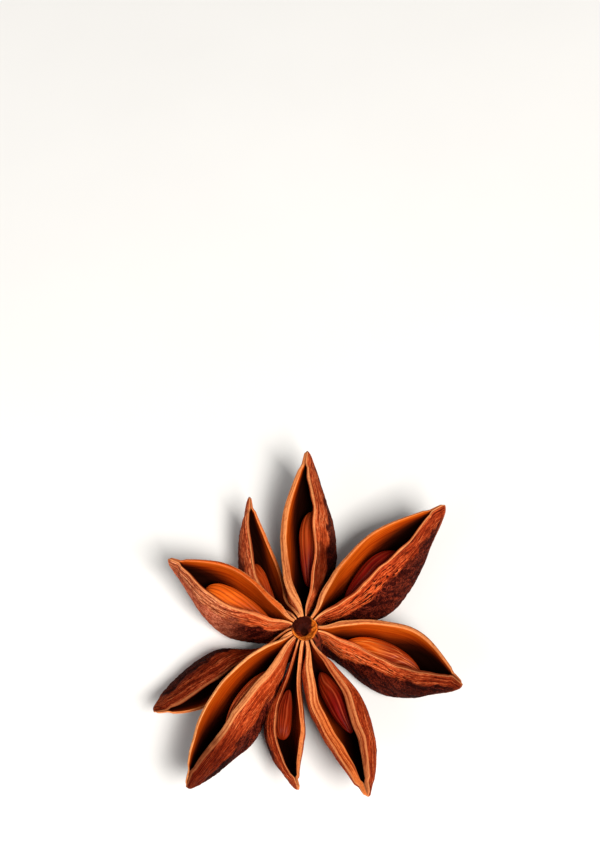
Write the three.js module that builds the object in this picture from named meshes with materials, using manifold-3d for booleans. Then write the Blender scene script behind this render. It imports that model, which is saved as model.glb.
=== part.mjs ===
// A dried star anise pod lying flat, open side up: nine boat-shaped carpels round a hollow hub, each split
// open along its upper edge, with a seed lying in eight of them.
// Millimetres and degrees, +Z up. The origin is on the ground, under the middle of the hub.
import * as THREE from "three";
import { mergeVertices } from "three/addons/utils/BufferGeometryUtils.js";
import Module from "manifold-3d";

// Hub and stalk
const HUB_HEIGHT = 8.2; // rims of the carpels over the ground, at the hub
const HUB_RADIUS = 1.35; // where the carpels leave the hub
const SOCKET_RADIUS = 1.0; // round hollow in the top of the hub
const SOCKET_DEPTH = 1.7;
const STALK_RADIUS = 1.5; // broken stalk that the pod stands on
const WAIST_RADIUS = 1.25;
const COLUMN_RADIUS = 1.9; // thickest part of the hub, inside the ring of carpels

// Walls of a carpel
const SLIT = 0.2; // half the opening where it starts, beside the hub
const HUB_SHARE = 0.45; // share of the slit and the rim that is left at the hub itself
const FLOOR = 1.3; // wall at the keel
const THICKENING = 0.3; // how much more the outside bulges than the hollow
const TIP_DEPTH = 0.04; // depth left at the tip, as a share of the full depth
const TIP_RIM = 0.3; // wall left at the tip, as a share of the full rim
const BEAK = 0.93; // share of the length where the opening ends and the solid beak begins
const HOLLOW_START = 0.05; // share of the length where the hollow begins

// The carpels, anticlockwise from the one that points to +Y. Those of the lower layer have a drop.
// azimuth: direction at the hub          sweep: turn of the tip away from it     bow: bulge to the side
// reach: from the axis to the tip        depth: rim to keel at the deepest       base: share of it at the hub
// gape: half the opening at the widest   wide: share of the length of that place
// belly: bulge of the walls              narrow: share of the length over which they draw in to the hub
// roll: lean of the keel, anticlockwise  rise: tip over the hub                  drop: below the upper layer
// rim: wall at the rim, mean of the two  broad: the same near the hub, where the rims are flat bands
// uneven: share by which the lower wall's rim is broader than that, and the raised wall's narrower
// keel: share of the length where the keel starts to rise to the tip
// seed: half its length                  place: share of the length at its middle
// egg: how much fuller its outer end is  point: over 1 where its ends are pointed
// room: half a seed is this much narrower than its hollow
// lie: how far off the middle of the hollow it lies, towards the raised wall
const USUAL = {
  sweep: 0, bow: 0, base: 0.72, wide: 0.5, belly: 0.85, narrow: 0.16, rise: 1.5, drop: 0, rim: 0.32,
  broad: 0.5, uneven: 0.25, keel: 0.42, seed: 3.8, place: 0.42, egg: 0.28, point: 1, room: 0.55, lie: 0.1,
};
const CARPELS = {
  top: {
    azimuth: 96.5, sweep: -7, reach: 19, depth: 7.8, gape: 1.62, roll: -28, rim: 0.5, broad: 0.58,
    uneven: 0.5, seed: 4, place: 0.465,
  },
  top_left: {
    azimuth: 121.5, sweep: -11, reach: 16, depth: 5.5, gape: 1.2, roll: 25, narrow: 0.5, drop: 2.6, seed: 2.7,
  },
  left: {
    azimuth: 150, sweep: 3, bow: -3, reach: 15.3, depth: 8.3, base: 0.85, gape: 1.9, wide: 0.6,
    roll: 12.5, rim: 0.34, uneven: 0.3, place: 0.44,
  },
  low_left: {
    azimuth: 192, sweep: 16, bow: 10, reach: 16.8, depth: 5.4, gape: 1, wide: 0.6, belly: 1.1, roll: -56,
    narrow: 0.5, rise: 0.8, drop: 3.6, keel: 0.58,
  },
  bottom_left: {
    azimuth: 218, sweep: 17.5, reach: 20.2, depth: 8.2, gape: 1.55, wide: 0.43, roll: 18.5, rise: 1,
    rim: 0.46, uneven: -0.3, place: 0.39, egg: 0.05, point: 1.2, room: 0.85, lie: 0.4,
  },
  bottom: {
    azimuth: 254, sweep: 14, reach: 16.2, depth: 5.7, gape: 1.3, roll: -15, narrow: 0.5, drop: 2.8, seed: 2.7,
  },
  bottom_right: {
    azimuth: 287, sweep: 1.5, bow: 1.6, reach: 18.8, depth: 7, gape: 1.17, wide: 0.38, belly: 1.2, roll: 18.5,
    rim: 0.85, broad: 0.6, uneven: 0.15, seed: 3.6, place: 0.36, egg: -0.05, point: 1.3,
  },
  right: {
    azimuth: 357, sweep: -19.5, bow: 1.5, reach: 16.7, depth: 8.3, base: 0.85, gape: 2.15, wide: 0.57,
    roll: -17.5, rim: 0.46, uneven: 0.3, seed: 4.15, place: 0.44, egg: -0.15, point: 1.3,
  },
  top_right: {
    azimuth: 51.5, sweep: -9, bow: 2.2, reach: 19.2, depth: 8.6, gape: 2.06, wide: 0.56, roll: -26,
    place: 0.455, point: 1.2,
  },
};
const SAG = 0.5; // the rims hang this far below a straight line to the tip

// Seeds
const SEED_HEIGHT = 0.22; // half height, as a share of the carpel's depth
const SEED_COVER = 0.8; // their tops lie this far below the rims
const EMPTY = ["low_left"]; // its seed has fallen out

// Fineness of the mesh
const STATIONS = 13; // sections along a carpel
const WALL_STEPS = 4; // steps from rim to keel
const SEED_STEPS = 8; // rings along a seed
const SEED_SIDES = 12;
const HUB_SEGMENTS = 24;

const { degToRad, smoothstep } = THREE.MathUtils;
const wasm = await Module();
wasm.setup();

// How far open a carpel is: 0 at the hub, 1 at the widest, 0 where the beak begins.
function openness({ wide }, s) {
  if (s < wide) return Math.sin(((s / wide) * Math.PI) / 2) ** 1.5;
  const past = Math.min(1, (s - wide) / (BEAK - wide));
  return Math.cos((past * Math.PI) / 2) ** 1.25;
}

// The middle of the opening at share s of the length, with the directions across it and down to the keel.
function frameAt(carpel, s) {
  const bearing = degToRad(carpel.azimuth + carpel.sweep * s ** 1.3 + carpel.bow * 4 * s * (1 - s));
  const radius = THREE.MathUtils.lerp(HUB_RADIUS, carpel.reach, s);
  const layer = carpel.drop * smoothstep(s, 0, 0.25);
  const height = HUB_HEIGHT - layer - SAG * 4 * s * (1 - s) + carpel.rise * s ** 2.2;
  const lean = degToRad(carpel.roll) * smoothstep(s, 0, 0.5);
  const side = new THREE.Vector3(-Math.sin(bearing), Math.cos(bearing), 0);
  const up = new THREE.Vector3(0, 0, 1);
  return {
    middle: new THREE.Vector3(radius * Math.cos(bearing), radius * Math.sin(bearing), height),
    across: side.clone().multiplyScalar(Math.cos(lean)).addScaledVector(up, Math.sin(lean)),
    down: side.clone().multiplyScalar(Math.sin(lean)).addScaledVector(up, -Math.cos(lean)),
  };
}

// Sizes of the section at share s of the length.
function sectionAt(carpel, s) {
  const narrowing = THREE.MathUtils.lerp(HUB_SHARE, 1, smoothstep(s, 0, carpel.narrow));
  const closing = THREE.MathUtils.clamp((BEAK - s) / 0.03, 0.02, 1);
  const opening = SLIT + (carpel.gape - SLIT) * openness(carpel, s);
  const fullRim = THREE.MathUtils.lerp(carpel.broad, carpel.rim, smoothstep(s, 0.1, 0.5));
  const taper = THREE.MathUtils.lerp(TIP_RIM, 1, Math.min(1, (1 - s) / 0.3) ** 0.6);
  const toFull = THREE.MathUtils.lerp(carpel.base, 1, smoothstep(s, 0, 0.4));
  const past = Math.max(0, s - carpel.keel) / (1.02 - carpel.keel);
  const depth = carpel.depth * toFull * Math.max(TIP_DEPTH, 1 - past ** 2) ** 0.9;
  const rim = fullRim * taper * narrowing;
  const bulge = narrowing * Math.sin(Math.PI * s ** 0.8) ** 0.8;
  return {
    opening: opening * closing * narrowing,
    rim,
    shift: Math.sign(carpel.roll) * carpel.uneven * rim, // of the hollow, towards the raised wall
    depth,
    floor: Math.min(FLOOR, 0.3 * depth),
    belly: carpel.belly * bulge,
    innerBelly: (carpel.belly - THICKENING) * bulge,
  };
}

// The wall's line from one rim, down round the keel and up to the other rim, as points (across, down).
function wallLine(halfWidth, belly, depth) {
  const side = new THREE.CubicBezierCurve(
    new THREE.Vector2(halfWidth, 0),
    new THREE.Vector2(halfWidth + 1.35 * belly, 0.3 * depth),
    new THREE.Vector2(0.62 * (halfWidth + belly), 0.86 * depth),
    new THREE.Vector2(0, depth),
  );
  const right = side.getPoints(WALL_STEPS);
  const left = right.slice(0, -1).reverse();
  return [...right, ...left.map((p) => new THREE.Vector2(-p.x, p.y))];
}

// A closed surface through rings of points that all turn the same way.
function loft(rings) {
  const count = rings[0].length;
  const centre = (ring) => ring.reduce((sum, p) => sum.add(p), new THREE.Vector3()).divideScalar(count);
  const points = [...rings.flat(), centre(rings[0]), centre(rings.at(-1))];
  const faces = [];
  for (let i = 0; i < rings.length - 1; i++) {
    for (let j = 0; j < count; j++) {
      const a = i * count + j;
      const b = i * count + ((j + 1) % count);
      faces.push(a, a + count, b, b, a + count, b + count);
    }
  }
  const lastRing = (rings.length - 1) * count;
  const firstCap = rings.length * count;
  for (let j = 0; j < count; j++) {
    const next = (j + 1) % count;
    faces.push(firstCap, j, next);
    faces.push(firstCap + 1, lastRing + next, lastRing + j);
  }
  return new THREE.BufferGeometry().setFromPoints(points).setIndex(faces);
}

function solidOf(geometry) {
  const bare = geometry.clone();
  bare.deleteAttribute("normal");
  bare.deleteAttribute("uv");
  const merged = mergeVertices(bare, 1e-4);
  const mesh = new wasm.Mesh({
    numProp: 3,
    vertProperties: merged.attributes.position.array,
    triVerts: new Uint32Array(merged.index.array),
  });
  return new wasm.Manifold(mesh);
}

function geometryOf(solid) {
  const mesh = solid.getMesh();
  const geometry = new THREE.BufferGeometry();
  geometry.setAttribute("position", new THREE.BufferAttribute(mesh.vertProperties, 3));
  geometry.setIndex(new THREE.BufferAttribute(mesh.triVerts, 1));
  const faceted = geometry.toNonIndexed();
  faceted.computeVertexNormals();
  return faceted;
}

// Points (across, down) of a section, set at share s of a carpel's length.
function ring(carpel, s, points) {
  const { middle, across, down } = frameAt(carpel, s);
  return points.map((p) => middle.clone().addScaledVector(across, p.x).addScaledVector(down, p.y));
}

// Rings of a carpel between two shares of its length, closer together towards the tip.
function rings(carpel, from, to, lineAt) {
  return Array.from({ length: STATIONS }, (_, i) => {
    const s = THREE.MathUtils.lerp(from, to, Math.sin((i / (STATIONS - 1)) * (Math.PI / 2)));
    return ring(carpel, s, lineAt(s));
  });
}

function carpelOutside(carpel) {
  const outside = rings(carpel, 0, 1, (s) => {
    const { opening, rim, depth, belly } = sectionAt(carpel, s);
    return wallLine(opening + rim, belly, depth);
  });
  return solidOf(loft(outside));
}

function carpelHollow(carpel) {
  const hollow = rings(carpel, HOLLOW_START, BEAK, (s) => {
    const { opening, shift, depth, floor, innerBelly } = sectionAt(carpel, s);
    const line = wallLine(opening, innerBelly, depth - floor);
    const above = -1; // the hollow runs out through the top
    const hole = [new THREE.Vector2(opening, above), ...line, new THREE.Vector2(-opening, above)];
    return hole.map((p) => new THREE.Vector2(p.x + shift, p.y));
  });
  return solidOf(loft(hollow));
}

// The core that carries the carpels, with a socket in its top and the stalk's end below.
function hub() {
  const top = HUB_HEIGHT + 0.1;
  const profile = [
    [0, 0],
    [STALK_RADIUS, 0],
    [WAIST_RADIUS, 1.2],
    [COLUMN_RADIUS, 3.4],
    [COLUMN_RADIUS, 6],
    [HUB_RADIUS + 0.1, top],
    [SOCKET_RADIUS, top],
    [0.85 * SOCKET_RADIUS, top - 0.8 * SOCKET_DEPTH],
    [0, top - SOCKET_DEPTH],
  ];
  const lathe = new THREE.LatheGeometry(profile.map((p) => new THREE.Vector2(...p)), HUB_SEGMENTS);
  return lathe.rotateX(Math.PI / 2);
}

// The pod rests on what this trims flat: the keels that hang lowest.
function belowGround() {
  const depth = 5;
  return new THREE.BoxGeometry(60, 60, depth).translate(0, 0, -depth / 2);
}

function husk(carpels) {
  const shells = carpels.map((carpel) => carpelOutside(carpel).subtract(carpelHollow(carpel)));
  const joined = shells.reduce((all, shell) => all.add(shell), solidOf(hub()));
  const bodies = joined.subtract(solidOf(belowGround())).decompose();
  return geometryOf(bodies.sort((a, b) => b.volume() - a.volume())[0]);
}

// An egg that follows the bend of its carpel.
function seed(carpel) {
  const length = carpel.seed / (carpel.reach - HUB_RADIUS);
  const { opening } = sectionAt(carpel, carpel.place);
  const width = 0.88 * opening + 0.73 * (carpel.belly - THICKENING) - carpel.room;
  const height = SEED_HEIGHT * carpel.depth;
  const eggRings = Array.from({ length: SEED_STEPS }, (_, i) => {
    const angle = ((i + 0.5) / SEED_STEPS) * Math.PI;
    const along = -Math.cos(angle);
    const girth = Math.sin(angle) ** carpel.point * (1 + carpel.egg * along);
    const s = carpel.place + length * along;
    const shift = sectionAt(carpel, s).shift + carpel.lie * Math.sign(carpel.roll);
    const section = new THREE.EllipseCurve(shift, SEED_COVER + height, width * girth, height * girth);
    return ring(carpel, s, section.getPoints(SEED_SIDES).slice(1));
  });
  return loft(eggRings);
}

const pod = new THREE.Group();
const carpels = Object.entries(CARPELS).map(([name, shape]) => ({ ...USUAL, ...shape, name }));

const huskMaterial = new THREE.MeshStandardMaterial({ color: 0x8a4a26, roughness: 0.75, metalness: 0 });
const huskMesh = new THREE.Mesh(husk(carpels), huskMaterial);
huskMesh.name = "husk";
pod.add(huskMesh);

const seedMaterial = new THREE.MeshStandardMaterial({ color: 0x93300f, roughness: 0.25, metalness: 0 });
for (const carpel of carpels.filter(({ name }) => !EMPTY.includes(name))) {
  const mesh = new THREE.Mesh(seed(carpel), seedMaterial);
  mesh.name = `seed_${carpel.name}`;
  pod.add(mesh);
}

export default pod;
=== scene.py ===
import math
from types import SimpleNamespace

import bpy
import numpy as np
from mathutils import Matrix, Vector


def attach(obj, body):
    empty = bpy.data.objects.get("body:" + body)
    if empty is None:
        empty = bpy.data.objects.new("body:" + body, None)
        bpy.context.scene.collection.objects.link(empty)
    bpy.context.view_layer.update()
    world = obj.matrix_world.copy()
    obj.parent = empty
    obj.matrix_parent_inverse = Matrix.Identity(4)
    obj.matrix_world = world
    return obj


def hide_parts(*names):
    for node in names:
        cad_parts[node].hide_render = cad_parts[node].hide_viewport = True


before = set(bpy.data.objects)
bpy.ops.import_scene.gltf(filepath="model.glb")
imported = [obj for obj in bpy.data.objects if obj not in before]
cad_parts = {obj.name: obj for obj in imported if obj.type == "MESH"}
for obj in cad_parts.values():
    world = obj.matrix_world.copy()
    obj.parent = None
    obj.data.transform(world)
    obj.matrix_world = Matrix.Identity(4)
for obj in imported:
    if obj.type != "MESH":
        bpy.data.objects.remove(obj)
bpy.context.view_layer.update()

# A dried star anise pod lying on a pale table, open side up: nine boat-shaped carpels round a hub, with a
# seed in eight of them. Its lengths are in millimetres until a mesh is made, those of the table and the lamps
# in metres. Angles among the named values are in degrees.
MM = 0.001

# ---- Form of the pod: the driving dimensions of the CAD part, with a slightly wider socket ----

HUB_HEIGHT = 8.2      # rims of the carpels over the ground, at the hub
HUB_RADIUS = 1.35     # where the carpels leave the hub
SOCKET_RADIUS = 1.2   # round hollow in the top of the hub
SOCKET_DEPTH = 1.7
STALK_RADIUS = 1.5    # broken stalk that the pod stands on
WAIST_RADIUS = 1.25
COLUMN_RADIUS = 1.9   # thickest part of the hub, inside the ring of carpels

SLIT = 0.2            # half the opening where it starts, beside the hub
HUB_SHARE = 0.45      # share of the slit and the rim that is left at the hub itself
FLOOR = 1.3           # wall at the keel
THICKENING = 0.3      # how much more the outside bulges than the hollow
TIP_DEPTH = 0.04      # depth left at the tip, as a share of the full depth
TIP_RIM = 0.3         # wall left at the tip, as a share of the full rim
START = -0.01         # share of the length where a carpel starts, just inside the hub
BEAK = 0.93           # share of the length where the opening ends and the solid beak begins
CLOSING = 0.03        # share of the length over which the opening closes before that
BEAK_SLIT = 0.02      # share of the opening that is left as a fine slit in the beak
SAG = 0.5             # the rims hang this far below a straight line to the tip

# A wall is a cubic curve from rim to keel. The belly pulls its middle points out, and they lie this deep.
UPPER_PULL, UPPER_DEPTH = 1.35, 0.3
LOWER_PULL, LOWER_DEPTH = 0.62, 0.86

# The carpels, anticlockwise from the one that points to +Y. Those of the lower layer have a drop.
# azimuth: direction at the hub          sweep: turn of the tip away from it     bow: bulge to the side
# reach: from the axis to the tip        depth: rim to keel at the deepest       base: share of it at the hub
# gape: half the opening at the widest   wide: share of the length of that place
# belly: bulge of the walls              narrow: share of the length over which they draw in to the hub
# roll: lean of the keel, anticlockwise  rise: tip over the hub                  drop: below the upper layer
# rim: wall at the rim, mean of the two  broad: the same near the hub, where the rims are flat bands
# uneven: share by which the lower wall's rim is broader than that, and the raised wall's narrower
# keel: share of the length where the keel starts to rise to the tip
# seed: half its length                  place: share of the length at its middle
# egg: how much fuller its outer end is  point: over 1 where its ends are pointed
# room: half a seed is this much narrower than its hollow
# lie: how far off the middle of the hollow it lies, towards the raised wall
USUAL = dict(sweep=0, bow=0, base=0.72, wide=0.5, belly=0.85, narrow=0.16, rise=1.5, drop=0, rim=0.32,
             broad=0.5, uneven=0.25, keel=0.42, seed=3.8, place=0.42, egg=0.28, point=1, room=0.55, lie=0.1)
CARPELS = {
    "top": dict(azimuth=96.5, sweep=-7, reach=19, depth=7.8, gape=1.62, roll=-28, rim=0.5, broad=0.58,
                uneven=0.5, seed=4, place=0.465),
    "top_left": dict(azimuth=121.5, sweep=-11, reach=16, depth=5.5, gape=1.2, roll=25, narrow=0.5, drop=2.6,
                     seed=2.7),
    "left": dict(azimuth=150, sweep=3, bow=-3, reach=15.3, depth=8.3, base=0.85, gape=1.9, wide=0.6,
                 roll=12.5, rim=0.34, uneven=0.3, place=0.44),
    "low_left": dict(azimuth=192, sweep=16, bow=10, reach=16.8, depth=5.4, gape=1, wide=0.6, belly=1.1,
                     roll=-56, narrow=0.5, rise=0.8, drop=3.6, keel=0.58),
    "bottom_left": dict(azimuth=218, sweep=17.5, reach=20.2, depth=8.2, gape=1.55, wide=0.43, roll=18.5,
                        rise=1, rim=0.46, uneven=-0.3, place=0.39, egg=0.05, point=1.2, room=0.85, lie=0.4),
    "bottom": dict(azimuth=254, sweep=14, reach=16.2, depth=5.7, gape=1.3, roll=-15, narrow=0.5, drop=2.8,
                   seed=2.7),
    "bottom_right": dict(azimuth=287, sweep=1.5, bow=1.6, reach=18.8, depth=7, gape=1.17, wide=0.38,
                         belly=1.2, roll=18.5, rim=0.85, broad=0.6, uneven=0.15, seed=3.6, place=0.36,
                         egg=-0.05, point=1.3),
    "right": dict(azimuth=357, sweep=-19.5, bow=1.5, reach=16.7, depth=8.3, base=0.85, gape=2.15, wide=0.57,
                  roll=-17.5, rim=0.46, uneven=0.3, seed=4.15, place=0.44, egg=-0.15, point=1.3),
    "top_right": dict(azimuth=51.5, sweep=-9, bow=2.2, reach=19.2, depth=8.6, gape=2.06, wide=0.56,
                      roll=-26, place=0.455, point=1.2),
}

SEED_HEIGHT = 0.22    # half height, as a share of the carpel's depth
SEED_COVER = 0.8      # seeds lie this far below the rims

# ---- Looks of the carpels: each is a share from 0 to 1 unless it says something else ----

# band: by how many millimetres the band of long fibres under the rim reaches further down than usual
# hub_band: by how many millimetres it does so beside the hub
# tan: how far the outside has weathered from orange brown to a duller tan
# shade: how many times as soon as usual the painted shade of the lining goes dark below the rim
# dark: how much darker the outside is painted towards the tip, from the share dark_from of the length on:
# partly the darker tips of the pod, partly painted shade
# shade_from, shade_to: shares of the length between which painted shade darkens the outside, over 1 for none
# warm_light: how brightly painted light makes the outside a red orange near the hub, as far as the share
# warm_to of the length
# vivid: how saturated an orange the lower rim has
# dry, dry_raised: how far the lower and the raised rim have dried to a pale tan beyond the hub
# pits: how strongly the band is pitted
USUAL_LOOK = dict(band=0, hub_band=1.6, tan=0.15, shade=1, dark=0.1, dark_from=0.5, shade_from=2, shade_to=3,
                  warm_light=0.6, warm_to=0.5, vivid=0, dry=0.1, dry_raised=0.02, pits=0.4)
LOOKS = {
    "top": dict(band=0.3, tan=0.3, shade=1.35, shade_from=0.1, shade_to=0.5, warm_light=0.75, warm_to=0.95,
                dry=0.6, dry_raised=0.15),
    "top_left": dict(tan=0.4),
    "left": dict(hub_band=0.3, tan=1.0, shade=0.78, warm_light=0.9, warm_to=0.36, vivid=0.85, pits=0.5),
    "low_left": dict(band=0.6, tan=0.25, dark=0.7, dark_from=0.1, dry=0.5, dry_raised=0.1, pits=0.3),
    "bottom_left": dict(band=1.3, shade=0.95, dark=0.85, warm_light=0.5, dry=1.0, dry_raised=0.6, pits=0.15),
    "bottom": dict(shade=0.7, dry=0.3, dry_raised=0.1),
    "bottom_right": dict(band=2.5, shade=0.6, dry_raised=0.25, pits=0.2),
    "right": dict(shade=1.2, dark=0.6, dark_from=0.42, warm_light=1.0, warm_to=0.7, dry=0.5, dry_raised=0.1,
                  pits=0.8),
    "top_right": dict(dark=0.2, warm_light=0.3, dry=0.3, dry_raised=0.1, pits=1.0),
}

# ---- Looks of the seeds ----

# tint: how red and dark a seed is at its inner and its outer end, from 0 for orange to 1 for a deep red
# brown, partly its own colour and partly painted shade
# grooves, crests, highlight_hairs: how strong the painted shade in the grooves, the painted highlights on the
# crests and the fine painted highlight streaks along it are
# coarse: how many times as coarse as usual its fibres and highlight streaks are
SEEDS = {
    "top": dict(tint=(1.0, 0.75), grooves=0.5, crests=0.3, highlight_hairs=0.3, coarse=1),
    "top_left": dict(tint=(0.85, 0.7), grooves=0.5, crests=0.2, highlight_hairs=0.2, coarse=1),
    "left": dict(tint=(0.5, 0.0), grooves=0.9, crests=0.15, highlight_hairs=0.15, coarse=1),
    "bottom_left": dict(tint=(0.75, 0.85), grooves=0.8, crests=1.5, highlight_hairs=1.7, coarse=2.4),
    "bottom": dict(tint=(0.95, 0.9), grooves=0.5, crests=0.3, highlight_hairs=0.3, coarse=1),
    "bottom_right": dict(tint=(0.9, 1.0), grooves=0.6, crests=0.35, highlight_hairs=0.15, coarse=1),
    "right": dict(tint=(0.0, 0.8), grooves=0.35, crests=1.0, highlight_hairs=1.0, coarse=1),
    "top_right": dict(tint=(1.0, 1.0), grooves=0.4, crests=0.12, highlight_hairs=0.12, coarse=1),
}
RIDGES = 17           # lengthwise ridges round a seed

# ---- Relief: heights and depths in millimetres, cells as along and across the grain ----

WAVE_CELL = 3.2               # the slow waves that make the rims uneven
WAVE_ACROSS, WAVE_DOWN = 0.5, 0.35
CROWN = 0.12                  # how far the middle of a broad rim stands above its edges
GROOVE_CELL = (4.5, 0.45)     # long grooves in the band under the rim
GROOVE_HEIGHT = 0.07
WRINKLE_CELL = (0.5, 1.1)     # wrinkles of the belly, which slant across it
WRINKLE_HEIGHT = 0.1
WRINKLE_SLANT = 0.6
LUMP_CELL = (2.6, 2.2)        # soft lumps of the belly
LUMP_HEIGHT = 0.34
LUMP_SLANT = 0.5
STREAK_CELL = (5, 0.5)        # fine streaks of the lining
STREAK_HEIGHT = 0.03
RIM_HEIGHT = 0.04             # small unevenness of a rim's top
KEEL_HEIGHT = 0.14            # the line along the keel
KEEL_WIDTH = 0.25
RIDGE_HEIGHT = 0.05           # ridges of a seed
SEED_GROOVE_DEPTH = 0.06
EDGE_LINE = 0.06              # width of the painted highlight along the edge of a rim
BLUNT_START = 0.012           # share of the length over which the end at the hub is rounded off
BLUNT_TIP = 0.015             # the same at the tip

# ---- Fineness ----

STATIONS = 240        # rings along a carpel
CROWDING = 0.45       # how far they crowd towards the tip, from 0 to 1
OUTER_POINTS = 120    # points of a ring on the outside, on the inside and over each rim
INNER_POINTS = 48
RIM_POINTS = 9
SEED_RINGS, SEED_SIDES = 70, 132
HUB_RINGS, HUB_SIDES = 200, 120

LEFT, RIGHT = 1, 0    # the rims of a carpel, seen from its tip


def clamp01(x):
    return np.clip(x, 0, 1)


def smoothstep(x, low, high):
    t = clamp01((x - low) / (high - low))
    return t * t * (3 - 2 * t)


def lerp(a, b, t):
    return a + (b - a) * t


def stacked(*coordinates):
    """Vectors from their coordinates, each spread over the same grid."""
    return np.stack(np.broadcast_arrays(*coordinates), -1)


# ---- Noise on a grid of points, the same on every run ----

# Large numbers that stir the bits of a cell's place, and a shift that keeps its whole numbers above 0.
STIR_X, STIR_Y, STIR_SEED, STIR_START, STIR_AGAIN = 374761393, 668265263, 974634777, 1013904223, 1274126177
LOW_32_BITS, LOW_24_BITS = np.uint64(0xFFFFFFFF), np.uint64(0xFFFFFF)
CELL_SHIFT = 100000

# The seed of each kind of noise: on the carpels, on the seeds and on the hub. The carpel's number is added to
# those on the carpels and to DENTS.
WARP, GROOVES, WRINKLES, LUMPS, STREAKS, RIM_TOP, MOTTLE = 7, 200, 300, 500, 700, 800, 900
MEANDER, DENTS, GROOVE_DEPTHS, CREST_HEIGHTS = 60, 61, 70, 71
BARK, CRAGS, NOTCHES = 900, 901, 902
WAVES_PER_CARPEL = 40         # the seed of a rim's waves is this times the number, and 1 more at the left

# Shifts that set the noise of one surface apart from that of the next.
FLANK_SHIFT = 50.0            # from one side of a carpel to the other
LINING_SHIFT = 20
CARPEL_SHIFT, SEED_SHIFT = 7.0, 10.0
LINING_START = 0.3            # the grain of the lining goes on as if every rim were this broad


def lattice(ix, iy, seed):
    """A fixed random number from 0 to 1 for each whole-numbered cell."""
    h = ix.astype(np.uint64) * np.uint64(STIR_X) + iy.astype(np.uint64) * np.uint64(STIR_Y)
    h = (h + np.uint64(seed * STIR_SEED + STIR_START)) & LOW_32_BITS
    h = ((h ^ (h >> np.uint64(13))) * np.uint64(STIR_AGAIN)) & LOW_32_BITS
    return ((h ^ (h >> np.uint64(16))) & LOW_24_BITS) / float(LOW_24_BITS)


def fade_curve(f):
    """From 0 to 1, level and without bend at both ends."""
    return f ** 3 * (f * (f * 6 - 15) + 10)


def noise(x, y, seed):
    """Smooth noise from 0 to 1, one cell per unit."""
    ix, iy = np.floor(x), np.floor(y)
    fx, fy = fade_curve(x - ix), fade_curve(y - iy)
    ix, iy = ix.astype(np.int64) + CELL_SHIFT, iy.astype(np.int64) + CELL_SHIFT
    near = lerp(lattice(ix, iy, seed), lattice(ix + 1, iy, seed), fx)
    far = lerp(lattice(ix, iy + 1, seed), lattice(ix + 1, iy + 1, seed), fx)
    return lerp(near, far, fy)


def crests(x, y, seed):
    return 1 - np.abs(2 * noise(x, y, seed) - 1)


def layered(values_at, x, y, seed, seed_step, octaves):
    """The mean of layers of noise, each twice as fine and half as strong as the one before."""
    total, weight = 0, 0
    for k in range(octaves):
        total = total + values_at(x * 2 ** k, y * 2 ** k, seed + seed_step * k) / 2 ** k
        weight += 1 / 2 ** k
    return total / weight


def cloudy(x, y, seed, octaves=2):
    """Noise from 0 to 1 with finer noise on it."""
    return layered(noise, x, y, seed, 17, octaves)


def ridged(x, y, seed, octaves=2):
    """Noise with sharp crests: 1 on a crest, 0 between them."""
    return layered(crests, x, y, seed, 31, octaves)


# ---- The carpels' frames and sections ----

def frame_at(c, s):
    """The middle of the opening at shares s of the length, and the directions across it and to the keel."""
    t = clamp01(s)
    bearing = np.radians(c["azimuth"] + c["sweep"] * t ** 1.3 + c["bow"] * 4 * t * (1 - t))
    radius = lerp(HUB_RADIUS, c["reach"], s)
    layer = c["drop"] * smoothstep(t, 0, 0.25)
    height = HUB_HEIGHT - layer - SAG * 4 * t * (1 - t) + c["rise"] * t ** 2.2
    lean = np.radians(c["roll"]) * smoothstep(t, 0, 0.5)
    middle = stacked(radius * np.cos(bearing), radius * np.sin(bearing), height)
    side = stacked(-np.sin(bearing), np.cos(bearing), 0.0)
    up = np.array([0, 0, 1.0])
    cos, sin = np.cos(lean)[..., None], np.sin(lean)[..., None]
    return middle, side * cos + up * sin, side * sin - up * cos


def placed(c, s, across, down):
    """Points across and down from the middle of the opening, one ring for each share s of the length."""
    middle, across_way, down_way = frame_at(c, s[:, 0])
    return middle[:, None] + across_way[:, None] * across[..., None] + down_way[:, None] * down[..., None]


def openness(c, s):
    """How far open a carpel is: 0 at the hub, 1 at the widest, 0 where the beak begins."""
    rising = np.sin(clamp01(s / c["wide"]) * math.pi / 2) ** 1.5
    falling = np.cos(clamp01((s - c["wide"]) / (BEAK - c["wide"])) * math.pi / 2) ** 1.25
    return np.where(s < c["wide"], rising, falling)


def section_at(c, s):
    """Sizes of the section at shares s of the length."""
    t = clamp01(s)
    narrowing = lerp(HUB_SHARE, 1, smoothstep(t, 0, c["narrow"]))
    closing = np.clip((BEAK - t) / CLOSING, BEAK_SLIT, 1)
    opening = SLIT + (c["gape"] - SLIT) * openness(c, t)
    taper = lerp(TIP_RIM, 1, np.minimum(1, (1 - t) / 0.3) ** 0.6)
    rim = lerp(c["broad"], c["rim"], smoothstep(t, 0.1, 0.5)) * taper * narrowing
    to_full = lerp(c["base"], 1, smoothstep(t, 0, 0.4))
    past = np.maximum(0, t - c["keel"]) / (1.02 - c["keel"])
    depth = c["depth"] * to_full * np.maximum(TIP_DEPTH, 1 - past ** 2) ** 0.9
    floor = np.minimum(FLOOR, 0.3 * depth)
    hollow = (depth - floor) * smoothstep(t, START, 0.07) * (1 - smoothstep(t, BEAK - CLOSING, BEAK + 0.01))
    bulge = narrowing * np.sin(math.pi * t ** 0.8) ** 0.8
    return SimpleNamespace(
        opening=opening * closing * narrowing,
        rim=rim,
        shift=np.sign(c["roll"]) * c["uneven"] * rim,  # of the hollow, towards the raised wall
        depth=depth,
        inner_depth=hollow + 0.01,
        belly=c["belly"] * bulge,
        inner_belly=(c["belly"] - THICKENING) * bulge)


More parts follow.
